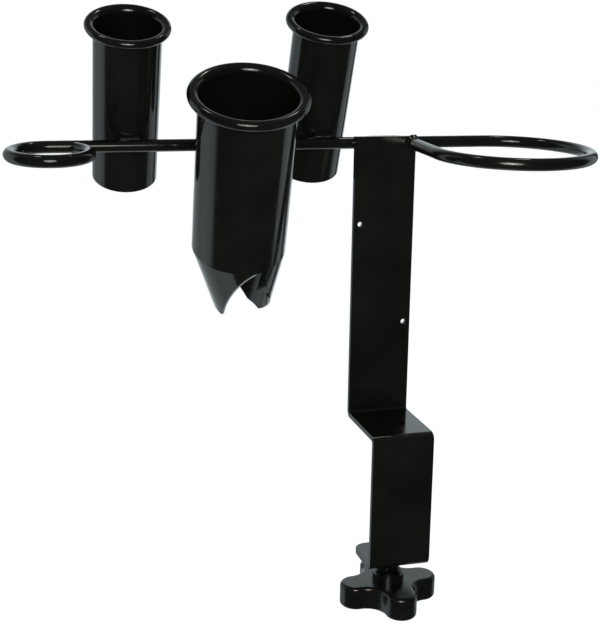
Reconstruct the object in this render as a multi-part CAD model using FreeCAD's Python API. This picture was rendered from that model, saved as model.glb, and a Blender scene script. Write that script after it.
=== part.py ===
"""A welded steel rod holder with a screw clamp, in millimetres.

+X runs along the cross rod, +Y points back, away from the user, and +Z is up.
The origin is where the clamp screw's axis meets the underside of the top jaw.
"""

import FreeCAD, Part
import os
from math import acos, cos, degrees, radians, sin, sqrt, tan

V = FreeCAD.Vector
UP = V(0, 0, 1)
ALONG = V(1, 0, 0)

# Clearances
WELD_GAP = 0.05        # between pieces that a weld joins
RUNNING = 0.05         # radial, between a turning piece and its hole
STOP_GAP = 0.5         # left between moving pieces at each end of the travel

# Flat bar bracket
BAR_WIDTH = 50.8
BAR_THICK = 4.0
BEND_INSIDE = 2.0
FOOT_BEND_INSIDE = 4.0
JAW_OPENING = 106.0    # between the shelf's underside and the foot's top
LOWER_BACK_Y = -22.2   # back face of the lower plate
UPPER_FRONT_Y = 38.4   # front face of the upper plate
FOOT_END_Y = 20.0
FOOT_CORNER = 11.0
PLATE_ABOVE_ROD = 5.7  # plate's top edge over the cross rod's axis
LINE_HOLE_R = 2.0
LINE_HOLE_INSET = 5.6  # hole's centre from the plate's side
HIGH_HOLE_DROP = 64.3  # hole's centre below the cross rod's axis
LOW_HOLE_DROP = 146.5

# Cross rod, with a small ring at its left and a large loop at its right
ROD_R = 4.75
ROD_HEIGHT = 226.3     # rod's axis over the top jaw's underside
RING_X = -263.0
RING_R = 28.3
RING_DROOP = 4.2       # degrees that the ring's plane falls towards the front
LOOP_X = 83.8
LOOP_R = 60.8
LOOP_DROOP = 2.3

# Tubes
LEAN = 26.6            # degrees that the tubes' mouths lean to the front
BACK_TUBE_R = 25.4
FRONT_TUBE_R = 36.8
TUBE_WALL = 1.6
BACK_SIDE_LEAN = 1.1   # degrees to the left
FRONT_SIDE_LEAN = 2.5
BACK_RIM = (3.4, 3.0)  # roll's centre out from the tube's outside, and the roll's radius
FRONT_RIM = (3.9, 3.8)
ROLL_END = 235.0       # degrees that the roll turns, from the top of the rim
LEFT_TUBE_X = -201.1
LEFT_TUBE_UP = 83.5    # rim's centre from the rod, along the tube
LEFT_TUBE_DOWN = 45.8
RIGHT_TUBE_X = -49.9
RIGHT_TUBE_UP = 88.4
RIGHT_TUBE_DOWN = 40.9
FRONT_TUBE_X = -122.0
FRONT_TUBE_UP = 67.1
FRONT_TUBE_DOWN = 66.0  # to the line where the tongues bend
TONGUES = {             # degrees that each is bent in, its length, then its reach to the front
                        # and back, midway and at the tip, as shares of the tube's radius
    "left": (19.0, 62.0, (0.57, 0.57), (0.16, 0.16)),
    "right": (11.9, 69.5, (0.83, 0.965), (0.14, 0.27)),
}
TONGUE_CORNER = 4.5
TONGUE_TWIST = 20.0     # degrees that the notches face round to the right

# Clamp screw and its nut
SCREW_R = 5.0
PITCH = 1.5
NUT_FLATS = 17.0
NUT_HEIGHT = 8.0
NUT_WELD = 3.2
FOOT_HOLE_CLEARANCE = 0.4

# Knob
KNOB_DROP = 19.9        # knob's upper face below the foot at rest
KNOB_HEIGHT = 19.5
KNOB_LOBES = 4
LOBE_REACH = 41.6       # lobe's tip from the axis
LOBE_R = 13.0
VALLEY_REACH = 24.6     # bottom of the valley between lobes, from the axis
KNOB_TURN = 2.6         # degrees from +X to the first lobe
KNOB_EDGE = 3.0
HUB_R = 13.0
HUB_HEIGHT = 6.0
INSERT_R = 8.0
INSERT_LENGTH = 16.0
WASHER_R = 10.5
WASHER_THICK = 1.6
LOCK_NUT_HEIGHT = 5.0
CAP_R = 11.0
CAP_THICK = 3.0
CAP_CLEARANCE = 0.1
SCREW_PAST_INSERT = 2.0

# Pressure pad on the screw's end
SMALLEST_GRIP = 12.0    # jaw opening left when the lock nut meets the foot
PAD_R = 13.0
PAD_FLOOR = 4.0
PAD_CUP_R = 8.0
PAD_CUP_DEPTH = 4.0
PAD_FACE_R = 13.6
PAD_FACE_THICK = 3.0
PAD_LIFT = 0.1          # screw's shoulder to the pad
NECK_R = 3.5
NECK_PAST_FLOOR = 2.6
RETAINER_R = 6.0
RETAINER_THICK = 1.0
GROOVE_R = 2.8

# Welds
TUBE_BEAD = (2.3, 15.0)   # bead's radius and length
PLATE_BEAD = (2.4, 38.0)
RING_BEAD = (3.0, 7.0)
LOOP_BEAD_REACH = 2.6     # past the rod's own radius
LOOP_BEAD_LENGTH = 4.0

# Heights and depths that follow from the sizes above
FOOT_TOP = -JAW_OPENING
FOOT_BOTTOM = FOOT_TOP - BAR_THICK
UPPER_BACK_Y = UPPER_FRONT_Y + BAR_THICK
ROD_Y = UPPER_BACK_Y + WELD_GAP + ROD_R
ROD_POINT = V(0, ROD_Y, ROD_HEIGHT)
PLATE_TOP = ROD_HEIGHT + PLATE_ABOVE_ROD
LOWER_FRONT_Y = LOWER_BACK_Y - BAR_THICK
NUT_TOP = FOOT_TOP + NUT_HEIGHT
KNOB_TOP = FOOT_BOTTOM - KNOB_DROP
KNOB_BOTTOM = KNOB_TOP - KNOB_HEIGHT
HUB_TOP = KNOB_TOP + HUB_HEIGHT
WASHER_TOP = HUB_TOP + WASHER_THICK
LOCK_NUT_TOP = WASHER_TOP + LOCK_NUT_HEIGHT
TRAVEL_UP = FOOT_BOTTOM - LOCK_NUT_TOP - STOP_GAP
FACE_TOP = -(SMALLEST_GRIP + TRAVEL_UP)
PAD_TOP = FACE_TOP - PAD_FACE_THICK
PAD_BOTTOM = PAD_TOP - PAD_CUP_DEPTH - PAD_FLOOR
TRAVEL_DOWN = PAD_BOTTOM - NUT_TOP - STOP_GAP
SHOULDER = PAD_BOTTOM - PAD_LIFT
NECK_TOP = PAD_BOTTOM + PAD_FLOOR + NECK_PAST_FLOOR
GROOVE_BOTTOM = PAD_BOTTOM + PAD_FLOOR + PAD_LIFT
SCREW_BOTTOM = HUB_TOP - INSERT_LENGTH - SCREW_PAST_INSERT


def arc(centre, radius, start, end, u, v):
    """Arc about centre, in the plane of u and v, between two angles in degrees."""
    def at(angle):
        turn = radians(angle)
        return centre + u * (radius * cos(turn)) + v * (radius * sin(turn))
    return Part.Arc(at(start), at((start + end) / 2), at(end)).toShape()


def line(start, end):
    return Part.makeLine(start, end)


def face(edges):
    return Part.Face(Part.Wire(Part.__sortEdges__(edges)))


def cylinder(radius, low, high):
    """Upright cylinder on the screw's axis."""
    return Part.makeCylinder(radius, high - low, V(0, 0, low))


def hexagon(flats, low, high):
    """Upright hexagonal prism on the screw's axis, with flats facing +Y and -Y."""
    corner = flats / sqrt(3)
    points = [V(corner * cos(radians(60 * k)), corner * sin(radians(60 * k)), low)
              for k in range(7)]
    return Part.Face(Part.makePolygon(points)).extrude(UP * (high - low))


def capsule(centre, radius, length, along):
    """Cylinder with round ends, centred on a point."""
    half = along * (length / 2 - radius)
    body = Part.makeCylinder(radius, length - 2 * radius, centre - half, along)
    ends = [Part.makeSphere(radius, centre + side) for side in (half, -half)]
    return body.fuse(ends).removeSplitter()


def bent_outline(corners, thick, insides):
    """Side view of a bar whose middle line goes through corners, bent to arcs between."""
    ends = [corners[0], corners[-1]]
    runs = [(after - before).normalize() for before, after in zip(corners, corners[1:])]
    outline = []
    for side in (1, -1):
        start = ends[0] + runs[0].cross(ALONG) * (side * thick / 2)
        first_point = start
        for point, before, after, inside in zip(corners[1:], runs, runs[1:], insides):
            turn = before.cross(after).dot(ALONG)
            radius = inside if side * turn < 0 else inside + thick
            out, onward = before.cross(ALONG) * turn, after.cross(ALONG) * turn
            centre = point - (before + out) * (inside + thick / 2)
            first, last = centre + out * radius, centre + onward * radius
            halfway = centre + (out + onward).normalize() * radius
            outline += [line(start, first), Part.Arc(first, halfway, last).toShape()]
            start = last
        end = ends[1] + runs[-1].cross(ALONG) * (side * thick / 2)
        outline.append(line(start, end))
        ends.append((first_point, end))
    (left_start, left_end), (right_start, right_end) = ends[2:]
    return face(outline + [line(left_start, right_start), line(left_end, right_end)])


def bracket():
    """One flat bar, bent four times: upper plate, shelf, lower plate and foot."""
    half = BAR_THICK / 2
    corners = [V(0, UPPER_BACK_Y - half, PLATE_TOP),
               V(0, UPPER_BACK_Y - half, half),
               V(0, LOWER_FRONT_Y + half, half),
               V(0, LOWER_FRONT_Y + half, FOOT_BOTTOM + half),
               V(0, FOOT_END_Y, FOOT_BOTTOM + half)]
    side = bent_outline(corners, BAR_THICK, (BEND_INSIDE, BEND_INSIDE, FOOT_BEND_INSIDE))
    side.translate(V(-BAR_WIDTH / 2, 0, 0))
    bar = side.extrude(ALONG * BAR_WIDTH)
    ends = [e for e in bar.Edges
            if e.BoundBox.ZLength > BAR_THICK / 2 and e.BoundBox.YLength < WELD_GAP
            and abs(e.BoundBox.YMin - FOOT_END_Y) < WELD_GAP]
    bar = bar.makeFillet(FOOT_CORNER, ends)
    for x, drop in ((-1, HIGH_HOLE_DROP), (1, LOW_HOLE_DROP)):
        centre = V(x * (BAR_WIDTH / 2 - LINE_HOLE_INSET), UPPER_FRONT_Y, ROD_HEIGHT - drop)
        bar = bar.cut(Part.makeCylinder(LINE_HOLE_R, BAR_THICK, centre, V(0, 1, 0)))
    return bar.cut(cylinder(SCREW_R + FOOT_HOLE_CLEARANCE, FOOT_BOTTOM, FOOT_TOP))


def falling(droop):
    """Direction to the front that falls by an angle in degrees."""
    return V(0, -cos(radians(droop)), -sin(radians(droop)))


def ring_close():
    """Degrees that the small ring turns before its end meets the straight rod."""
    return 360 - degrees(acos((RING_R - ROD_R - WELD_GAP) / (RING_R + ROD_R)))


def loop_tail():
    """Where the large loop's straight tail starts, and where it meets the plate."""
    front = falling(LOOP_DROOP)
    start = ROD_POINT + ALONG * (LOOP_X - LOOP_R) + front * LOOP_R
    left = (ROD_Y - UPPER_FRONT_Y + WELD_GAP + ROD_R * tan(radians(LOOP_DROOP))) / -front.y
    return start, ROD_POINT + ALONG * (LOOP_X - LOOP_R) + front * left


def cross_rod():
    """One round rod: a ring that closes on the rod, a straight run, and the large loop."""
    ring_front, loop_front = falling(RING_DROOP), falling(LOOP_DROOP)
    ring_start = ROD_POINT + ALONG * RING_X
    loop_start = ROD_POINT + ALONG * LOOP_X
    ring = arc(ring_start + ring_front * RING_R, RING_R, -ring_close(), 0,
               -ring_front, ALONG)
    loop = arc(loop_start + loop_front * LOOP_R, LOOP_R, 0, 270, -loop_front, ALONG)
    tail_start, tail_end = loop_tail()
    path = Part.Wire([ring, line(ring_start, loop_start), loop, line(tail_start, tail_end)])
    first = path.Edges[0]
    section = Part.Wire(Part.makeCircle(ROD_R, first.valueAt(first.FirstParameter),
                                        first.tangentAt(first.FirstParameter)))
    return path.makePipeShell([section], True, False)


def tube_frame(x, radius, side, side_lean):
    """Placement of a tube that touches the rod: side is 1 behind it and -1 in front."""
    lean, sideways = radians(LEAN), radians(side_lean)
    up = V(-sin(sideways), -sin(lean) * cos(sideways), cos(lean) * cos(sideways))
    back = V(0, cos(lean), sin(lean))
    right = back.cross(up)
    centre = ROD_POINT + ALONG * x + back * (side * (radius + ROD_R + WELD_GAP))
    matrix = FreeCAD.Matrix(right.x, back.x, up.x, centre.x,
                            right.y, back.y, up.y, centre.y,
                            right.z, back.z, up.z, centre.z, 0, 0, 0, 1)
    return FreeCAD.Placement(matrix)


def rolled_tube(radius, rim, above, below):
    """Tube about Z whose upper end flares out and rolls over.

    The wall follows an arc from upright to level, and then the roll's own circle.
    """
    out, roll = rim
    middle = radius + out
    inner = radius - TUBE_WALL
    flare = middle - inner
    centre = V(middle, 0, above)
    flare_centre = centre + UP * (roll - flare)
    edges = [
        line(V(inner, 0, -below), V(inner, 0, flare_centre.z)),
        arc(flare_centre, flare, 180, 90, ALONG, UP),
        arc(centre, roll, 90, 90 - ROLL_END, ALONG, UP),
        arc(centre, roll - TUBE_WALL, 90 - ROLL_END, 90, ALONG, UP),
        arc(flare_centre, flare - TUBE_WALL, 90, 180, ALONG, UP),
        line(V(radius, 0, flare_centre.z), V(radius, 0, -below)),
        line(V(radius, 0, -below), V(inner, 0, -below)),
    ]
    roll_end = [e.Vertexes[-1].Point if k == 0 else e.Vertexes[0].Point
                for k, e in enumerate((edges[2], edges[3]))]
    edges.insert(3, line(*roll_end))
    return face(edges).revolve(V(0, 0, 0), UP, 360)


def tongue(side):
    """Half of the front tube's lower end, tapered to a round tip and bent inward."""
    sign = 1 if side == "right" else -1
    bend, length, middle, end = TONGUES[side]
    top = -FRONT_TUBE_DOWN
    tip = top - length
    outer, inner = FRONT_TUBE_R, FRONT_TUBE_R - TUBE_WALL
    half_ring = face([
        arc(V(0, 0, top), outer, -90, 90, ALONG * sign, V(0, 1, 0)),
        arc(V(0, 0, top), inner, -90, 90, ALONG * sign, V(0, 1, 0)),
        line(V(0, -outer, top), V(0, -inner, top)),
        line(V(0, inner, top), V(0, outer, top))])
    bent = half_ring.extrude(V(-sign * tan(radians(bend)), 0, -1) * length)
    sides = [Part.Arc(V(0, way * outer, top), V(0, way * outer * wide, (top + tip) / 2),
                      V(0, way * outer * narrow, tip)).toShape()
             for way, wide, narrow in zip((-1, 1), middle, end)]
    outline = face(sides + [
        line(V(0, -outer, top), V(0, outer, top)),
        line(V(0, -outer * end[0], tip), V(0, outer * end[1], tip))])
    outline.translate(V(-2 * outer, 0, 0))
    taper = outline.extrude(ALONG * (4 * outer))
    tips = [e for e in taper.Edges
            if e.BoundBox.XLength > outer and e.BoundBox.ZMax < tip + WELD_GAP]
    return bent.common(taper.makeFillet(TONGUE_CORNER, tips))


def front_tube():
    """Large tube whose lower end is notched front and back into two tongues."""
    tube = rolled_tube(FRONT_TUBE_R, FRONT_RIM, FRONT_TUBE_UP, FRONT_TUBE_DOWN)
    tongues = [tongue(side) for side in TONGUES]
    for piece in tongues:
        piece.rotate(V(0, 0, 0), UP, TONGUE_TWIST)
    return tube.fuse(tongues).removeSplitter()


def placed(shape, frame):
    shape.Placement = frame.multiply(shape.Placement)
    return shape


def tube_weld(x, side, neighbours):
    """Two beads, above and below the rod, where a tube touches it."""
    radius, length = TUBE_BEAD
    lean = radians(LEAN)
    back, up = V(0, cos(lean), sin(lean)), V(0, -sin(lean), cos(lean))
    touch = ROD_POINT + ALONG * x + back * (side * (ROD_R - radius / 2))
    reach = ROD_R - radius / 2
    beads = [capsule(touch + up * (way * reach), radius, length, ALONG) for way in (1, -1)]
    return trimmed(beads, neighbours)


def trimmed(beads, neighbours):
    """Beads with the pieces that they join taken out of them."""
    solids = []
    for bead in beads:
        left = bead
        for other in neighbours:
            left = left.cut(other)
        solids.append(max(left.Solids, key=lambda s: s.Volume))
    return Part.makeCompound(solids)


def bracket_weld(neighbours):
    """Beads along the plate's top and behind it, above and below the rod."""
    radius, length = PLATE_BEAD
    y = UPPER_BACK_Y + radius / 2
    beads = [capsule(V(0, y, ROD_HEIGHT + way * (ROD_R - radius / 2)), radius, length, ALONG)
             for way in (1, -1)]
    return trimmed(beads, neighbours)


def ring_weld(neighbours):
    """Bead in the wedge between the small ring's end and the straight rod."""
    radius, length = RING_BEAD
    front = falling(RING_DROOP)
    turn = radians(ring_close())
    end = ROD_POINT + ALONG * (RING_X - RING_R * sin(turn)) + front * (RING_R * (1 - cos(turn)))
    centre = ROD_POINT + V((end.x + ROD_R), 0, 0) + front * (ROD_R + radius / 2)
    return trimmed([capsule(centre, radius, length, ALONG)], neighbours)


def loop_weld(neighbours):
    """Collar of weld round the large loop's tail, where it meets the plate."""
    tail_start, tail_end = loop_tail()
    away = (tail_start - tail_end).normalize()
    collar = Part.makeCone(ROD_R + LOOP_BEAD_REACH, ROD_R, LOOP_BEAD_LENGTH,
                           tail_end - away * WELD_GAP, away)
    beyond = Part.makeBox(LOOP_R, BAR_WIDTH, BAR_WIDTH,
                          V(BAR_WIDTH / 2, UPPER_FRONT_Y - BAR_WIDTH, ROD_HEIGHT - BAR_WIDTH / 2))
    return trimmed([collar.cut(beyond)], neighbours)


def clamp_nut():
    return hexagon(NUT_FLATS, FOOT_TOP, NUT_TOP).cut(
        cylinder(SCREW_R + RUNNING, FOOT_TOP, NUT_TOP))


def clamp_nut_weld():
    """Fillet of weld all round the nut's foot."""
    flat = NUT_FLATS / 2
    fillet = Part.makeCone(flat + NUT_WELD, flat, NUT_WELD, V(0, 0, FOOT_TOP))
    return fillet.cut(hexagon(NUT_FLATS, FOOT_TOP, NUT_TOP))


def clamp_screw():
    """Threaded rod with a turned neck, grooved for the retainer, at its upper end."""
    screw = cylinder(SCREW_R, SCREW_BOTTOM, SHOULDER).fuse(
        cylinder(NECK_R, SHOULDER, NECK_TOP))
    top = GROOVE_BOTTOM + RETAINER_THICK
    groove = cylinder(NECK_R, GROOVE_BOTTOM, top).cut(cylinder(GROOVE_R, GROOVE_BOTTOM, top))
    return screw.cut(groove)


def pad_retainer():
    top = GROOVE_BOTTOM + RETAINER_THICK
    return cylinder(RETAINER_R, GROOVE_BOTTOM, top).cut(cylinder(GROOVE_R, GROOVE_BOTTOM, top))


def pressure_pad():
    """Cup that turns freely on the screw's neck."""
    floor_top = PAD_BOTTOM + PAD_FLOOR
    cup = cylinder(PAD_R, PAD_BOTTOM, PAD_TOP)
    cup = cup.cut(cylinder(PAD_CUP_R, floor_top, PAD_TOP))
    return cup.cut(cylinder(NECK_R + RUNNING, PAD_BOTTOM, floor_top))


def pad_face():
    disc = cylinder(PAD_FACE_R, PAD_TOP, FACE_TOP)
    rim = [e for e in disc.Edges if e.BoundBox.ZMin > PAD_TOP + PAD_FACE_THICK / 2
           and e.BoundBox.ZLength < STOP_GAP]
    return disc.makeFillet(PAD_FACE_THICK / 3, rim)


def lobed_face(low):
    """Knob's outline: round lobes joined by hollow arcs that are tangent to them."""
    out = LOBE_REACH - LOBE_R
    step = 360 / KNOB_LOBES
    across = 2 * cos(radians(step / 2))
    hollow = (VALLEY_REACH ** 2 + out ** 2 - across * out * VALLEY_REACH - LOBE_R ** 2) / (
        across * out + 2 * LOBE_R - 2 * VALLEY_REACH)

    def at(reach, angle):
        return V(reach * cos(radians(angle)), reach * sin(radians(angle)), low)

    edges = []
    for k in range(KNOB_LOBES):
        here = KNOB_TURN + k * step
        lobe = at(out, here)
        before, after = (at(VALLEY_REACH + hollow, here + way * step / 2) for way in (-1, 1))
        following = at(out, here + step)
        start = lobe + (before - lobe).normalize() * LOBE_R
        end = lobe + (after - lobe).normalize() * LOBE_R
        onward = following + (after - following).normalize() * LOBE_R
        edges.append(Part.Arc(start, at(LOBE_REACH, here), end).toShape())
        edges.append(Part.Arc(end, at(VALLEY_REACH, here + step / 2), onward).toShape())
    return Part.Face(Part.Wire(edges))


def knob_body():
    """Lobed moulding with a round hub on top, bored for the insert and the cap."""
    lobes = lobed_face(KNOB_BOTTOM).extrude(UP * KNOB_HEIGHT)
    rims = [e for e in lobes.Edges if e.BoundBox.ZLength < WELD_GAP]
    lobes = lobes.makeFillet(KNOB_EDGE, rims)
    body = lobes.fuse(cylinder(HUB_R, KNOB_TOP - KNOB_EDGE, HUB_TOP))
    body = body.cut(cylinder(INSERT_R, KNOB_BOTTOM, HUB_TOP))
    return body.cut(cylinder(CAP_R + CAP_CLEARANCE, KNOB_BOTTOM, KNOB_BOTTOM + CAP_THICK))


def knob_insert():
    bottom = HUB_TOP - INSERT_LENGTH
    return cylinder(INSERT_R, bottom, HUB_TOP).cut(cylinder(SCREW_R, bottom, HUB_TOP))


def knob_washer():
    return cylinder(WASHER_R, HUB_TOP, WASHER_TOP).cut(cylinder(SCREW_R, HUB_TOP, WASHER_TOP))


def knob_lock_nut():
    return hexagon(NUT_FLATS, WASHER_TOP, LOCK_NUT_TOP).cut(
        cylinder(SCREW_R, WASHER_TOP, LOCK_NUT_TOP))


def knob_cap():
    return cylinder(CAP_R, KNOB_BOTTOM, KNOB_BOTTOM + CAP_THICK)


def build():
    """Every piece of the rod holder, by name."""
    left = tube_frame(LEFT_TUBE_X, BACK_TUBE_R, 1, BACK_SIDE_LEAN)
    right = tube_frame(RIGHT_TUBE_X, BACK_TUBE_R, 1, BACK_SIDE_LEAN)
    front = tube_frame(FRONT_TUBE_X, FRONT_TUBE_R, -1, FRONT_SIDE_LEAN)
    plate, rod = bracket(), cross_rod()
    parts = {
        "bracket": plate,
        "cross_rod": rod,
        "left_rod_tube": placed(
            rolled_tube(BACK_TUBE_R, BACK_RIM, LEFT_TUBE_UP, LEFT_TUBE_DOWN), left),
        "right_rod_tube": placed(
            rolled_tube(BACK_TUBE_R, BACK_RIM, RIGHT_TUBE_UP, RIGHT_TUBE_DOWN), right),
        "front_tube": placed(front_tube(), front),
        "bracket_weld": bracket_weld([plate, rod]),
        "small_ring_weld": ring_weld([rod]),
        "large_loop_weld": loop_weld([plate, rod]),
        "clamp_nut": clamp_nut(),
        "clamp_nut_weld": clamp_nut_weld(),
        "clamp_screw": clamp_screw(),
        "pressure_pad": pressure_pad(),
        "pad_face": pad_face(),
        "pad_retainer": pad_retainer(),
        "knob_body": knob_body(),
        "knob_insert": knob_insert(),
        "knob_washer": knob_washer(),
        "knob_lock_nut": knob_lock_nut(),
        "knob_cap": knob_cap(),
    }
    for name, x, side in (("left_rod_tube", LEFT_TUBE_X, 1), ("right_rod_tube", RIGHT_TUBE_X, 1),
                          ("front_tube", FRONT_TUBE_X, -1)):
        weld = name.replace("_rod", "") + "_weld"
        parts[weld] = tube_weld(x, side, [rod, parts[name]])
    return parts


os.makedirs("parts", exist_ok=True)
for name, shape in build().items():
    shape.exportStep(f"parts/{name}.step")
    box = shape.BoundBox
    print(f"{name:18s} solids {len(shape.Solids)} valid {shape.isValid()} "
          f"volume {shape.Volume:9.1f} z {box.ZMin:7.1f} to {box.ZMax:7.1f}")
print(f"travel {TRAVEL_DOWN:.2f} down, {TRAVEL_UP:.2f} up, pad face at {FACE_TOP:.2f}")
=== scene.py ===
"""Finish of a clamp-on rod holder: gloss black paint, weld beads, a cut thread and a pale studio.

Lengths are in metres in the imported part's own frame: +X along the cross rod, +Y back, +Z up.
"""
import math

import bmesh
import bpy
import numpy as np
from mathutils import Matrix, Vector


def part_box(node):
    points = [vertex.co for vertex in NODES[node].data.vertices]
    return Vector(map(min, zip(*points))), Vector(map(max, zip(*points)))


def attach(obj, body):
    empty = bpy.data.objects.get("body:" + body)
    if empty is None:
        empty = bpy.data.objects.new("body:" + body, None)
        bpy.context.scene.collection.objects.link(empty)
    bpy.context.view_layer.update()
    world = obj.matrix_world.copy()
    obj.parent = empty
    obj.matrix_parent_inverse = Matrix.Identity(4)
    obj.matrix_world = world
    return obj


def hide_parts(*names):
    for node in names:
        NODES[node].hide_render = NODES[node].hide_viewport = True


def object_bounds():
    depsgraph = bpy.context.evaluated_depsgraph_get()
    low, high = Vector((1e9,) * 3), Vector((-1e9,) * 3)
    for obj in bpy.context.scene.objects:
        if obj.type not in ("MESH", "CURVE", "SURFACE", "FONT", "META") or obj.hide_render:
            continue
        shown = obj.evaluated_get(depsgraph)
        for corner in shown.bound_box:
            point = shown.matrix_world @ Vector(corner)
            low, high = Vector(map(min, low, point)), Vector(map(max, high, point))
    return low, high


bl_info = {
    "name": "Clamp-on rod holder",
    "version": (1, 0, 0),
    "blender": (4, 5, 0),
    "location": "3D View > Sidebar > Rod holder",
    "description": "Makes the rod holder's paint, welds, thread, pad and studio",
    "category": "Object",
}

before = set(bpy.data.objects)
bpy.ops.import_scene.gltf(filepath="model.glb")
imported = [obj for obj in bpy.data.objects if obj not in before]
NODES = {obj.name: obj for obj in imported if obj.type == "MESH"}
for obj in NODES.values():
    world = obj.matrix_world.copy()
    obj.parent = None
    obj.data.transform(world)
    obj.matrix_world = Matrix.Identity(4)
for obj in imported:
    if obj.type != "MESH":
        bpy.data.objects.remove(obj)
CAD_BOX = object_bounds()
UP = np.array((0.0, 0.0, 1.0))


# Settings

def length(name, text, default):
    return bpy.props.FloatProperty(name=name, description=text, default=default, min=0.0,
                                   precision=5, unit="LENGTH")


def amount(name, text, default, top=1.0):
    return bpy.props.FloatProperty(name=name, description=text, default=default, min=0.0, max=top)


def turn(name, text, degrees):
    return bpy.props.FloatProperty(name=name, description=text, default=math.radians(degrees),
                                   unit="ROTATION", subtype="ANGLE")


def colour(name, text, default):
    return bpy.props.FloatVectorProperty(name=name, description=text, default=default, size=3,
                                         min=0.0, max=1.0, subtype="COLOR")


class PaintSettings(bpy.types.PropertyGroup):
    tone: colour("Paint colour", "Colour of the gloss black paint", (0.0034, 0.0037, 0.003))
    dust: colour("Dust colour", "Colour of the thin dust on it", (0.006, 0.0064, 0.0052))
    gloss: amount("Roughness", "Roughness of clean paint", 0.07)
    dull: amount("Dull roughness", "Roughness where the paint is handled", 0.17)
    peel: length("Orange peel", "Height of the paint's orange peel", 0.000012)
    peel_size: length("Peel size", "Width of one bump of the orange peel", 0.0022)


class BarSettings(bpy.types.PropertyGroup):
    edge: length("Edge radius", "Rounding of the flat bar's edges", 0.0007)
    facet_angle: turn("Edge angle", "Edges sharper than this are rounded", 35.0)


class WeldSettings(bpy.types.PropertyGroup):
    rod_radius: length("Rod radius", "Radius of the cross rod", 0.00475)
    rod_below_top: length("Rod below top", "Rod's axis below the plate's top edge", 0.0057)
    gap: length("Fit-up gap", "Gap between the pieces that are welded", 0.00005)
    lean: turn("Tube lean", "How far the tubes lean to the front", 26.6)
    ripple: length("Ripple pitch", "Distance from one ripple of a bead to the next", 0.0014)
    depth: amount("Ripple depth", "Height of a ripple as a share of the bead's radius", 0.14)
    tube_bead: length("Tube bead", "Radius of the beads between tube and rod", 0.0023)
    bar_bead: length("Bar bead", "Radius of the beads between bar and rod", 0.0022)
    nut_bead: amount("Nut bead", "Radius of the nut's bead as a share of its height", 0.55)
    nut_bead_middle: amount("Nut bead's middle", "How high the middle of the nut's bead is, "
                            "as a share of its radius", 0.45)


class ThreadSettings(bpy.types.PropertyGroup):
    pitch: length("Pitch", "Rise of the screw's thread in one turn", 0.0015)
    depth: length("Depth", "Depth of the thread", 0.00085)
    radius: length("Outside radius", "Radius of the thread's crest", 0.005)
    neck: length("Neck radius", "Radius of the plain neck in the pad", 0.0035)
    chamfer: length("Chamfer", "Chamfer on the screw's ends", 0.001)
    flat: amount("Flat", "Half of the flat at a root or crest, as a share of the pitch", 0.0577)


class NutSettings(bpy.types.PropertyGroup):
    chamfer: length("Chamfer", "Height of the chamfer on a nut's corners", 0.0011)
    sink_width: length("Countersink width", "Width of the countersink at the hole", 0.0006)
    sink_depth: length("Countersink depth", "Depth of the countersink at the hole", 0.0008)


class PadSettings(bpy.types.PropertyGroup):
    grooves: bpy.props.IntProperty(name="Grooves", description="Rings cut in the rubber face",
                                   default=4, min=0, max=8)
    groove_depth: length("Groove depth", "Depth of each ring", 0.0006)
    edge: length("Edge radius", "Rounding of the face's edge", 0.001)
    tone: colour("Rubber colour", "Colour of the pad's face", (0.022, 0.021, 0.02))


class KnobSettings(bpy.types.PropertyGroup):
    tone: colour("Knob colour", "Colour of the knob's moulding", (0.003, 0.0033, 0.003))
    roughness: amount("Roughness", "Roughness of the moulding", 0.24)
    grain: length("Grain", "Size of the mould's fine texture", 0.0006)


class StageSettings(bpy.types.PropertyGroup):
    floor_drop: length("Floor drop", "Floor below the object's lowest point", 0.3)
    floor_reach: length("Floor reach", "How far the floor runs each way", 7.0)
    floor_tone: colour("Floor colour", "Colour of the pale floor", (0.9, 0.9, 0.9))
    glow: amount("Floor glow", "Light that the floor gives off by itself", 0.9, 2.0)
    wall: amount("Wall", "Brightness of the pale walls behind and beside", 1.0, 4.0)
    strip: amount("Strip", "Brightness of the narrow bright strip to the right", 0.6, 4.0)
    dark: amount("Dark side", "Brightness of the dark side of the room", 0.035)
    tint: colour("Tint", "Colour of the walls' light", (0.86, 0.97, 1.0))
    sky: amount("Ceiling", "Brightness of the ceiling", 0.1)
    eye: bpy.props.FloatVectorProperty(name="Camera place", description="Where the camera is",
                                       default=(-0.3182, -0.8563, 0.3218), size=3,
                                       subtype="TRANSLATION", unit="LENGTH")
    heading: turn("Camera heading", "How far the camera looks to the right of +Y", 15.58)
    tilt: turn("Camera tilt", "How far the camera looks down", 13.83)
    roll: turn("Camera roll", "How far the camera is turned about its own view", 0.84)
    lens: bpy.props.FloatProperty(name="Lens", description="Focal length on a 36 mm sensor",
                                  default=68.83, min=1.0, unit="CAMERA")


SETTINGS = {"paint": PaintSettings, "bar": BarSettings, "weld": WeldSettings,
            "thread": ThreadSettings, "nut": NutSettings, "pad": PadSettings,
            "knob": KnobSettings, "stage": StageSettings}


def settings(name):
    return getattr(bpy.context.scene, "rod_holder_" + name)


# Meshes

RIPPLE_ROWS = 12                # rows of the grid for one ripple of a bead
THREAD_ROWS = 12                # rows for one turn of the thread
BEAD_SIDES = 20                 # columns round each piece
SCREW_SIDES = 40
NUT_SIDES = 144
PAD_SIDES = 96
COIN_LEAN = 0.18 * np.pi        # how far a straight bead's ripples lean, as an angle of phase
RING_COIN_LEAN = 0.5            # the same for a bead that runs all round
COIN_MEAN = 0.6                 # height of a ripple that leaves the bead's radius as it is


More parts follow.
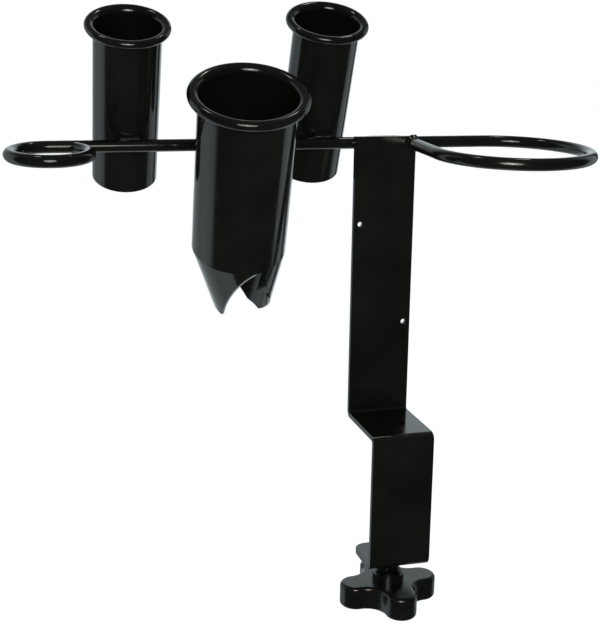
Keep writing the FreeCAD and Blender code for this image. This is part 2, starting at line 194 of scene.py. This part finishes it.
def add_mesh(name, points, faces, material):
    mesh = bpy.data.meshes.new(name)
    mesh.from_pydata(points.tolist(), [], faces.tolist())
    work = bmesh.new()
    work.from_mesh(mesh)
    bmesh.ops.remove_doubles(work, verts=work.verts, dist=1e-7)
    bmesh.ops.recalc_face_normals(work, faces=work.faces)
    work.to_mesh(mesh)
    work.free()
    piece = bpy.data.objects.new(name, mesh)
    bpy.context.collection.objects.link(piece)
    mesh.materials.append(material)
    return piece


def grid_faces(rows, columns, close_rows):
    """Faces of a grid that closes on itself across the columns, and along the rows if asked."""
    r = np.arange(rows if close_rows else rows - 1)[:, None]
    c = np.arange(columns)[None, :]
    after_r, after_c = (r + 1) % rows, (c + 1) % columns
    corners = [r * columns + c, r * columns + after_c, after_r * columns + after_c,
               after_r * columns + c]
    return np.stack([k.ravel() for k in corners], 1)


def smooth(piece, angle=40.0):
    piece.data.shade_smooth()
    piece.data.set_sharp_from_angle(angle=math.radians(angle))


def turned(name, radius, height, angles, centre, material, close_rows=False):
    """A turned piece: radius and height are arrays over rows and angles, about an upright axis."""
    x = centre[0] + radius * np.cos(angles)
    y = centre[1] + radius * np.sin(angles)
    z = centre[2] + height + 0 * x
    points = np.stack([x, y, z], -1).reshape(-1, 3)
    piece = add_mesh(name, points, grid_faces(*x.shape, close_rows), material)
    smooth(piece)
    return piece


def around(count):
    return np.linspace(0, 2 * np.pi, count, endpoint=False)[None, :]


def bead(start, end, radius, ripple, depth):
    """Points of a weld bead, on a grid along it and round it.

    Its radius is R times the fourth root of 1 - s to the fourth, with s from -1 to 1 along
    it, and rises and falls by the depth once for each ripple, leaning like laid coins.
    """
    start, end = np.array(start), np.array(end)
    along = end - start
    span = np.linalg.norm(along)
    along = along / span
    side = np.cross(along, UP if abs(along[2]) < 0.9 else (1.0, 0.0, 0.0))
    side = side / np.linalg.norm(side)
    lift = np.cross(along, side)
    rows = max(2 * RIPPLE_ROWS, int(RIPPLE_ROWS * span / ripple))
    s = np.linspace(-1, 1, rows)[:, None]
    v = around(BEAD_SIDES)
    coin = np.abs(np.sin(np.pi * (s + 1) / 2 * span / ripple + COIN_LEAN * np.cos(v)))
    shape = radius * (1 - s ** 4) ** 0.25 * (1 + depth * (coin - COIN_MEAN))
    place = (start + end) / 2 + (s * span / 2)[..., None] * along
    return place + shape[..., None] * (np.cos(v)[..., None] * side + np.sin(v)[..., None] * lift)


def ring_bead(centre, axis, ring_radius, radius, ripple, depth):
    """Points of a weld bead that runs all round: a torus with the same leaning ripples.

    There is a whole number of them, and the torus's small radius rises and falls with them.
    """
    axis = np.array(axis) / np.linalg.norm(axis)
    side = np.cross(axis, (1.0, 0.0, 0.0) if abs(axis[0]) < 0.9 else UP)
    side = side / np.linalg.norm(side)
    other = np.cross(axis, side)
    count = max(8, round(2 * np.pi * ring_radius / ripple))
    u = np.linspace(0, 2 * np.pi, RIPPLE_ROWS * count, endpoint=False)[:, None]
    v = around(BEAD_SIDES)
    coin = np.abs(np.sin(count * u / 2 + RING_COIN_LEAN * np.cos(v)))
    shape = radius * (1 + depth * (coin - COIN_MEAN))
    out = np.cos(u)[..., None] * side + np.sin(u)[..., None] * other
    reach = ring_radius + shape * np.cos(v)
    return np.array(centre) + reach[..., None] * out + (shape * np.sin(v))[..., None] * axis


def weld(node, beads, material, closed=False):
    """One piece made of bead grids, in place of the CAD node of that weld."""
    points, faces, count = [], [], 0
    for grid in beads:
        rows, columns = grid.shape[:2]
        points.append(grid.reshape(-1, 3))
        faces.append(grid_faces(rows, columns, closed) + count)
        count += rows * columns
    piece = add_mesh(node + "_bead", np.concatenate(points), np.concatenate(faces), material)
    smooth(piece, angle=60.0)
    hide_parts(node)
    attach(piece, "frame")


# Materials

STREAKED = (0.7, 1.4)           # least and most roughness of steel, as shares of its usual one
MOULDED = (0.85, 1.2)           # the same for plastic and rubber
PALE_MOULDING = 1.7             # how much paler the palest patches of a moulding are


class Surface:
    """A material's node tree, with short calls for the nodes that it needs."""

    def __init__(self, name):
        self.material = bpy.data.materials.new(name)
        self.material.use_nodes = True
        self.tree = self.material.node_tree
        self.shader = self.tree.nodes["Principled BSDF"]
        self.place = self.tree.nodes.new("ShaderNodeTexCoord").outputs["Object"]

    def set(self, **values):
        for name, value in values.items():
            self.shader.inputs[name.replace("_", " ")].default_value = value

    def join(self, output, name):
        self.tree.links.new(output, self.shader.inputs[name])

    def noise(self, size, detail=3.0, stretch=(1, 1, 1)):
        """Noise whose bumps are about one size across, in metres."""
        mapping = self.tree.nodes.new("ShaderNodeMapping")
        mapping.inputs["Scale"].default_value = stretch
        self.tree.links.new(self.place, mapping.inputs["Vector"])
        node = self.tree.nodes.new("ShaderNodeTexNoise")
        node.inputs["Scale"].default_value = 1 / size
        node.inputs["Detail"].default_value = detail
        self.tree.links.new(mapping.outputs["Vector"], node.inputs["Vector"])
        return node.outputs["Fac"]

    def between(self, factor, low, high):
        """A value that goes from low to high as the factor goes from 0.35 to 0.65."""
        node = self.tree.nodes.new("ShaderNodeMapRange")
        node.inputs["From Min"].default_value = 0.35
        node.inputs["From Max"].default_value = 0.65
        node.inputs["To Min"].default_value = low
        node.inputs["To Max"].default_value = high
        self.tree.links.new(factor, node.inputs["Value"])
        return node.outputs["Result"]

    def blend(self, factor, first, second):
        node = self.tree.nodes.new("ShaderNodeMix")
        node.data_type = "RGBA"
        node.inputs["A"].default_value = (*first, 1)
        node.inputs["B"].default_value = (*second, 1)
        self.tree.links.new(factor, node.inputs["Factor"])
        return node.outputs["Result"]

    def bump(self, height, distance, onto=None):
        node = self.tree.nodes.new("ShaderNodeBump")
        node.inputs["Distance"].default_value = distance
        self.tree.links.new(height, node.inputs["Height"])
        if onto is not None:
            self.tree.links.new(onto, node.inputs["Normal"])
        self.join(node.outputs["Normal"], "Normal")
        return node.outputs["Normal"]


def paint(name, rough_weld=False):
    """Gloss black paint: faint dust, patches dulled by hands, and orange peel."""
    s = settings("paint")
    surface = Surface(name)
    dust = surface.between(surface.noise(size=0.045, detail=5.0), 0.0, 1.0)
    surface.join(surface.blend(dust, s.tone, s.dust), "Base Color")
    handled = surface.noise(size=0.02, detail=4.0)
    surface.join(surface.between(handled, s.gloss, s.dull), "Roughness")
    peel = surface.bump(surface.noise(s.peel_size, detail=2.0), s.peel)
    if rough_weld:
        surface.bump(surface.noise(size=0.0006), distance=0.00004, onto=peel)
    return surface.material


def metal(name, tone, worn, roughness, stretch=(1, 1, 1)):
    """Bare or plated steel: cloudy colour, streaked roughness and fine tool marks."""
    surface = Surface(name)
    surface.set(Metallic=1.0)
    clouds = surface.between(surface.noise(size=0.006), 0, 1)
    surface.join(surface.blend(clouds, tone, worn), "Base Color")
    streaks = surface.noise(size=0.0008, detail=4.0, stretch=stretch)
    least, most = STREAKED
    surface.join(surface.between(streaks, roughness * least, roughness * most), "Roughness")
    surface.bump(streaks, distance=0.00001)
    return surface.material


def moulding(name, tone, roughness, grain, depth):
    """Moulded plastic or rubber: fine mould texture and slightly uneven shine."""
    surface = Surface(name)
    pale = tuple(part * PALE_MOULDING for part in tone)
    patches = surface.between(surface.noise(size=0.012), 0, 1)
    surface.join(surface.blend(patches, tone, pale), "Base Color")
    shine = surface.noise(size=0.008, detail=4.0)
    least, most = MOULDED
    surface.join(surface.between(shine, roughness * least, roughness * most), "Roughness")
    surface.bump(surface.noise(grain, detail=2.0), depth)
    return surface.material


def finish_node(node, material):
    for slot in NODES[node].material_slots:
        slot.material = material


# Pieces

class PieceOperator(bpy.types.Operator):
    bl_options = {"REGISTER", "UNDO"}


class RODHOLDER_OT_tubes_and_rod(PieceOperator):
    """Paint the tubes and the cross rod"""
    bl_idname = "rod_holder.tubes_and_rod"
    bl_label = "Tubes and rod"

    def execute(self, context):
        tube_paint, rod_paint = paint("gloss_black_tubes"), paint("gloss_black_cross_rod")
        for node in ("left_rod_tube", "right_rod_tube", "front_tube"):
            finish_node(node, tube_paint)
        finish_node("cross_rod", rod_paint)
        return {"FINISHED"}


class RODHOLDER_OT_bracket(PieceOperator):
    """Round the flat bar's edges and paint it"""
    bl_idname = "rod_holder.bracket"
    bl_label = "Bracket"

    def execute(self, context):
        s = settings("bar")
        work = bmesh.new()
        work.from_mesh(NODES["bracket"].data)
        bmesh.ops.remove_doubles(work, verts=work.verts, dist=1e-6)
        bmesh.ops.dissolve_limit(work, angle_limit=math.radians(0.4), verts=work.verts,
                                 edges=work.edges)
        mesh = bpy.data.meshes.new("bent_bar")
        work.to_mesh(mesh)
        work.free()
        bar = bpy.data.objects.new("bent_bar", mesh)
        context.collection.objects.link(bar)
        mesh.materials.append(paint("gloss_black_flat_bar"))
        mesh.shade_smooth()
        rounding = bar.modifiers.new("rounded_edges", "BEVEL")
        rounding.width = s.edge
        rounding.segments = 3
        rounding.limit_method = "ANGLE"
        rounding.angle_limit = s.facet_angle
        rounding.harden_normals = True
        flats = bar.modifiers.new("flat_faces_stay_flat", "WEIGHTED_NORMAL")
        flats.weight = 100
        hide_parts("bracket")
        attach(bar, "frame")
        return {"FINISHED"}


class RODHOLDER_OT_welds(PieceOperator):
    """Lay the rippled weld beads"""
    bl_idname = "rod_holder.welds"
    bl_label = "Welds"

    def execute(self, context):
        s = settings("weld")
        material = paint("gloss_black_weld", rough_weld=True)
        plate_low, plate_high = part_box("bracket")
        rod_y = plate_high.y + s.gap + s.rod_radius
        rod_z = plate_high.z - s.rod_below_top
        back = np.array((0, math.cos(s.lean), math.sin(s.lean)))
        up = np.array((0, -math.sin(s.lean), math.cos(s.lean)))
        for node, side in (("left_tube_weld", 1), ("right_tube_weld", 1), ("front_tube_weld", -1)):
            low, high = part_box(node)
            half = (high.x - low.x) / 2
            reach = s.rod_radius - s.tube_bead / 2
            middle = np.array(((low.x + high.x) / 2, rod_y, rod_z)) + back * (side * reach)
            beads = [bead(middle + up * (way * reach) - (half, 0, 0),
                          middle + up * (way * reach) + (half, 0, 0),
                          s.tube_bead, s.ripple, s.depth)
                     for way in (1, -1)]
            weld(node, beads, material)
        low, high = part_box("bracket_weld")
        bead_y = plate_high.y + s.bar_bead / 2
        beads = []
        for way in (1, -1):
            height = rod_z + way * (s.rod_radius - s.bar_bead / 2)
            beads.append(bead((low.x, bead_y, height), (high.x, bead_y, height),
                              s.bar_bead, s.ripple, s.depth))
        weld("bracket_weld", beads, material)
        low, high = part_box("small_ring_weld")
        middle = (low + high) / 2
        beads = [bead((low.x, middle.y, middle.z), (high.x, middle.y, middle.z),
                      (high.z - low.z) / 2, s.ripple, s.depth)]
        weld("small_ring_weld", beads, material)
        finish_node("large_loop_weld", material)
        low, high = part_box("clamp_nut_weld")
        nut_low, nut_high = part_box("clamp_nut")
        radius = (high.z - low.z) * s.nut_bead
        centre = ((low.x + high.x) / 2, (low.y + high.y) / 2,
                  low.z + radius * s.nut_bead_middle)
        weld("clamp_nut_weld", [ring_bead(centre, (0, 0, 1), (nut_high.x - nut_low.x) / 2,
                                          radius, s.ripple, s.depth)], material, closed=True)
        return {"FINISHED"}


class RODHOLDER_OT_screw(PieceOperator):
    """Cut the clamp screw's thread"""
    bl_idname = "rod_holder.screw"
    bl_label = "Clamp screw"

    def execute(self, context):
        s = settings("thread")
        low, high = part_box("clamp_screw")
        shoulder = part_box("pressure_pad")[0].z
        steps = int((shoulder - low.z) / s.pitch * THREAD_ROWS)
        z = np.linspace(low.z, shoulder, steps)[:, None]
        angle = around(SCREW_SIDES)
        # The phase goes from 0 to 1 in one turn, with the root at a half. The ridge rises evenly
        # from 0 at the root's flat to 1 at the crest's, and the chamfers cut it off at each end.
        phase = (z / s.pitch - angle / (2 * np.pi)) % 1.0
        ridge = np.clip((np.abs(phase - 0.5) - s.flat) / (0.5 - 2 * s.flat), 0, 1)
        thread = s.radius - s.depth * (1 - ridge)
        ends = np.minimum(z - low.z, shoulder - z)
        thread = np.minimum(thread, s.radius - s.chamfer + ends)
        neck = np.array([s.neck, s.neck, 0.0])[:, None] + 0 * angle
        neck_z = np.array([shoulder, high.z, high.z])[:, None]
        radius = np.concatenate([0 * angle, thread, neck])
        height = np.concatenate([[[low.z]], z, neck_z])
        steel = metal("zinc_plated_thread", tone=(0.42, 0.42, 0.43), worn=(0.3, 0.3, 0.3),
                      roughness=0.32)
        piece = turned("screw_thread", radius, height, angle, (0, 0, 0), steel)
        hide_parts("clamp_screw")
        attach(piece, "screw_and_knob")
        return {"FINISHED"}


def hexagon_nut(node, hole, material):
    """Nut: each row's radius is the smaller of the hexagon's and of a circle's.

    The rows go up the outside, where the circles make the chamfers, and down the hole, which is
    countersunk at both ends.
    """
    s = settings("nut")
    low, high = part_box(node)
    flat = (high.y - low.y) / 2
    corner = flat / math.cos(math.pi / 6)
    halfway = (flat + corner) / 2
    mouth = hole + s.sink_width
    angle = around(NUT_SIDES)
    hexagon = flat / np.cos((angle - math.pi / 2 + math.pi / 6) % (math.pi / 3) - math.pi / 6)
    tall = high.z - low.z
    heights = np.array([0, 0, s.chamfer / 2, s.chamfer, tall - s.chamfer, tall - s.chamfer / 2,
                        tall, tall, tall - s.sink_depth, s.sink_depth])
    circles = np.array([mouth, flat, halfway, corner, corner, halfway, flat, mouth, hole, hole])
    radius = np.minimum(hexagon, circles[:, None])
    piece = turned(node + "_chamfered", radius, heights[:, None], angle, (0, 0, low.z), material,
                   close_rows=True)
    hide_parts(node)
    return piece


class RODHOLDER_OT_nuts(PieceOperator):
    """Make the clamp nut and the lock nut with chamfered corners, and the washer"""
    bl_idname = "rod_holder.nuts"
    bl_label = "Nuts and washer"

    def execute(self, context):
        hole = settings("thread").radius
        clamp_nut = hexagon_nut("clamp_nut", hole, paint("gloss_black_nut"))
        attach(clamp_nut, "frame")
        black = metal("black_oxide_steel", tone=(0.03, 0.03, 0.032), worn=(0.05, 0.05, 0.05),
                      roughness=0.35)
        lock_nut = hexagon_nut("knob_lock_nut", hole, black)
        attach(lock_nut, "screw_and_knob")
        finish_node("knob_washer", black)
        finish_node("pad_retainer", metal("retainer_spring_steel", tone=(0.35, 0.35, 0.36),
                                          worn=(0.25, 0.24, 0.23), roughness=0.3))
        return {"FINISHED"}


class RODHOLDER_OT_pad(PieceOperator):
    """Turn the pad's cup and groove its rubber face"""
    bl_idname = "rod_holder.pad"
    bl_label = "Pressure pad"

    def execute(self, context):
        s = settings("pad")
        finish_node("pressure_pad", metal("turned_zinc_pad", tone=(0.4, 0.4, 0.41),
                                          worn=(0.28, 0.28, 0.28), roughness=0.3,
                                          stretch=(1, 1, 9)))
        low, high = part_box("pad_face")
        outside = (high.x - low.x) / 2
        # The wave goes from 0 to 1 and back once for each groove, from the middle outwards. The
        # face falls by the groove's depth times its square, and a quarter circle rounds the edge.
        inner = np.linspace(0, outside - s.edge, 90)
        wave = 0.5 - 0.5 * np.cos(2 * np.pi * s.grooves * inner / (outside - s.edge))
        top = (high.z - low.z) - s.groove_depth * wave ** 2
        bend = np.linspace(0, math.pi / 2, 7)[1:]
        round_r = outside - s.edge + s.edge * np.sin(bend)
        round_z = (high.z - low.z) - s.edge * (1 - np.cos(bend))
        radius = np.concatenate([inner, round_r, [outside, 0]])
        height = np.concatenate([top, round_z, [0, 0]])
        rubber = moulding("black_rubber", s.tone, roughness=0.65, grain=0.0005, depth=0.00003)
        angle = around(PAD_SIDES)
        piece = turned("grooved_rubber_face", radius[:, None] + 0 * angle, height[:, None],
                       angle, (0, 0, low.z), rubber)
        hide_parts("pad_face")
        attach(piece, "pad")
        return {"FINISHED"}


class RODHOLDER_OT_knob(PieceOperator):
    """Give the knob its moulded plastic, and its insert brass"""
    bl_idname = "rod_holder.knob"
    bl_label = "Knob"

    def execute(self, context):
        s = settings("knob")
        plastic = moulding("satin_black_plastic", s.tone, s.roughness, s.grain, depth=0.000012)
        finish_node("knob_body", plastic)
        glossier = s.roughness * 0.8
        finish_node("knob_cap", moulding("satin_black_cap", s.tone, glossier, s.grain,
                                         depth=0.00001))
        finish_node("knob_insert", metal("knurled_brass", tone=(0.62, 0.45, 0.18),
                                         worn=(0.5, 0.35, 0.14), roughness=0.3))
        return {"FINISHED"}


# Studio

OVERHEAD_LAMPS = {"overhead_left": (-0.7, 0.3, 2.2), "overhead_right": (0.6, 0.5, 2.1)}
LAMP_TONE = (1.0, 0.97, 0.9)
FROM_CAMERA = (0.02, -0.02, 0.1)        # from the camera to the two lamps beside it
CEILING_STARTS, CEILING_WHOLE = 0.45, 0.75      # heights, as sines, between which walls fade out


def pale_floor(s, low):
    """A plain pale floor under the object, faintly mottled."""
    z = low.z - s.floor_drop
    far = s.floor_reach
    corners = np.array([(-far, -far, z), (far, -far, z), (far, far, z), (-far, far, z)])
    surface = Surface("pale_floor")
    tone = tuple(s.floor_tone)
    darker = tuple(part * 0.98 for part in tone)
    surface.join(surface.blend(surface.noise(size=0.4), tone, darker), "Base Color")
    surface.set(Roughness=0.6, Emission_Color=(*tone, 1), Emission_Strength=s.glow)
    floor = add_mesh("pale_floor", corners, np.array([[0, 1, 2, 3]]), surface.material)
    floor.visible_glossy = False


def room_light(s):
    """Light that depends on direction: pale behind and to the left, dark in front.

    The brightness is a ramp over the heading, which turns from the back by the left, the front
    and the right to the back again, and it fades to the ceiling's above half way up.
    """
    world = bpy.data.worlds.new("studio_room")
    bpy.context.scene.world = world
    world.use_nodes = True
    tree = world.node_tree
    new, join = tree.nodes.new, tree.links.new
    axes = new("ShaderNodeSeparateXYZ")
    join(new("ShaderNodeTexCoord").outputs["Generated"], axes.inputs["Vector"])

    def calculate(operation, first, second):
        node = new("ShaderNodeMath")
        node.operation = operation
        for socket, value in zip(node.inputs, (first, second)):
            if isinstance(value, (int, float)):
                socket.default_value = value
            else:
                join(value, socket)
        return node.outputs["Value"]

    front = calculate("MULTIPLY", axes.outputs["Y"], -1)
    heading = calculate("ARCTAN2", axes.outputs["X"], front)
    share = calculate("MULTIPLY_ADD", heading, 1 / (2 * math.pi))
    share.node.inputs[2].default_value = 0.5
    ramp = new("ShaderNodeValToRGB")
    join(share, ramp.inputs["Fac"])
    grey, pale, gap = s.wall * 0.45, s.wall * 0.75, s.dark * 2
    stops = [(-180, s.wall), (-165, grey), (-140, grey), (-122, pale), (-106, pale),
             (-98, s.dark), (97, s.dark), (100, s.strip), (124, s.strip), (128, gap), (138, gap),
             (142, s.wall), (180, s.wall)]
    elements = ramp.color_ramp.elements
    while len(elements) < len(stops):
        elements.new(0.5)
    for element, (degrees, level) in zip(elements, stops):
        element.position = degrees / 360 + 0.5
        element.color = (*(level * part for part in s.tint), 1)
    fade = new("ShaderNodeMapRange")
    join(axes.outputs["Z"], fade.inputs["Value"])
    fade.inputs["From Min"].default_value = CEILING_STARTS
    fade.inputs["From Max"].default_value = CEILING_WHOLE
    room = new("ShaderNodeMix")
    room.data_type = "RGBA"
    room.inputs["B"].default_value = (s.sky, s.sky, s.sky, 1)
    join(fade.outputs["Result"], room.inputs["Factor"])
    join(ramp.outputs["Color"], room.inputs["A"])
    seen = new("ShaderNodeMix")
    seen.data_type = "RGBA"
    seen.inputs["B"].default_value = (1, 1, 1, 1)
    join(new("ShaderNodeLightPath").outputs["Is Camera Ray"], seen.inputs["Factor"])
    join(room.outputs["Result"], seen.inputs["A"])
    background = tree.nodes["Background"]
    join(seen.outputs["Result"], background.inputs["Color"])


def lamp(name, place, target, size, power):
    data = bpy.data.lights.new(name, "AREA")
    data.color = LAMP_TONE
    data.shape = "DISK"
    data.size = size
    data.energy = power
    light = bpy.data.objects.new(name, data)
    light.location = place
    light.rotation_euler = (Vector(target) - Vector(place)).to_track_quat("-Z", "Y").to_euler()
    bpy.context.collection.objects.link(light)


class RODHOLDER_OT_stage(PieceOperator):
    """Set the floor, the room's light, the lamps and the camera"""
    bl_idname = "rod_holder.stage"
    bl_label = "Stage"

    def execute(self, context):
        s = settings("stage")
        pale_floor(s, CAD_BOX[0])
        room_light(s)
        middle = (CAD_BOX[0] + CAD_BOX[1]) / 2
        for name, place in OVERHEAD_LAMPS.items():
            lamp(name, place, middle, size=0.22, power=1.5)
        by_camera = Vector(s.eye) + Vector(FROM_CAMERA)
        lamp("soft_by_camera", by_camera, middle, size=0.5, power=3.4)
        lamp("bright_by_camera", by_camera, middle, size=0.08, power=3.2)
        camera = bpy.data.objects.new("camera", bpy.data.cameras.new("camera"))
        context.collection.objects.link(camera)
        camera.data.lens = s.lens
        camera.matrix_world = (Matrix.Translation(s.eye) @ Matrix.Rotation(-s.heading, 4, "Z")
                               @ Matrix.Rotation(math.pi / 2 - s.tilt, 4, "X")
                               @ Matrix.Rotation(s.roll, 4, "Z"))
        context.scene.camera = camera
        context.scene.view_settings.view_transform = "Standard"
        return {"FINISHED"}


class RODHOLDER_PT_panel(bpy.types.Panel):
    """Every size and colour of the rod holder, and a button for each piece"""
    bl_idname = "RODHOLDER_PT_panel"
    bl_label = "Rod holder"
    bl_space_type = "VIEW_3D"
    bl_region_type = "UI"
    bl_category = "Rod holder"

    def draw(self, context):
        for operator in OPERATORS:
            self.layout.operator(operator.bl_idname)
        for name, group in SETTINGS.items():
            box = self.layout.box()
            box.label(text=name.capitalize())
            for key in group.__annotations__:
                box.prop(settings(name), key)


OPERATORS = (RODHOLDER_OT_tubes_and_rod, RODHOLDER_OT_bracket, RODHOLDER_OT_welds,
             RODHOLDER_OT_screw, RODHOLDER_OT_nuts, RODHOLDER_OT_pad, RODHOLDER_OT_knob,
             RODHOLDER_OT_stage)
CLASSES = (*SETTINGS.values(), *OPERATORS, RODHOLDER_PT_panel)


def register():
    for item in CLASSES:
        bpy.utils.register_class(item)
    for name, group in SETTINGS.items():
        setattr(bpy.types.Scene, "rod_holder_" + name, bpy.props.PointerProperty(type=group))


def unregister():
    for name in SETTINGS:
        delattr(bpy.types.Scene, "rod_holder_" + name)
    for item in reversed(CLASSES):
        bpy.utils.unregister_class(item)


def main():
    register()
    for operator in OPERATORS:
        group, name = operator.bl_idname.split(".")
        getattr(getattr(bpy.ops, group), name)()


if __name__ == "__main__":
    main()
